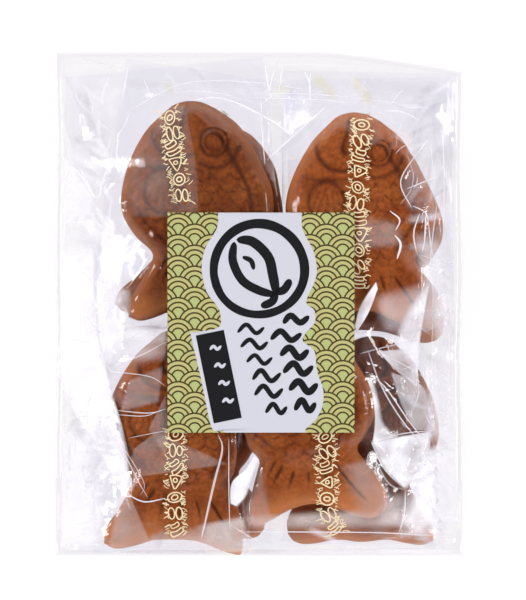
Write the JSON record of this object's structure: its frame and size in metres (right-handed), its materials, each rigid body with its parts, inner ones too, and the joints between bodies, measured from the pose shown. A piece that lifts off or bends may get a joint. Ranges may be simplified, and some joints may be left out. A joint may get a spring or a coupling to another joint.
{
  "type": "bag of fish-shaped filled cakes",
  "caption": "Clear sealed bag of wrapped fish-shaped filled cakes with a patterned paper label, lying on its back.",
  "frame": {"origin": "middle of the bag's footprint, on the surface that it lies on", "axes": "+X across the bag, +Y up the bag towards its top seal, +Z out of its front, through the label"},
  "size_m": [0.165, 0.203, 0.0464],
  "materials": {
    "clear_film": "clear glossy film",
    "label_paper": "coated printed paper",
    "inner_film": "clear wrapper film",
    "film_print": "pale gold ink on film",
    "cake": "baked crust, matt"
  },
  "bodies": {
    "root": {"bag": "clear_film", "label": "label_paper"}
  },
  "joints": []
}
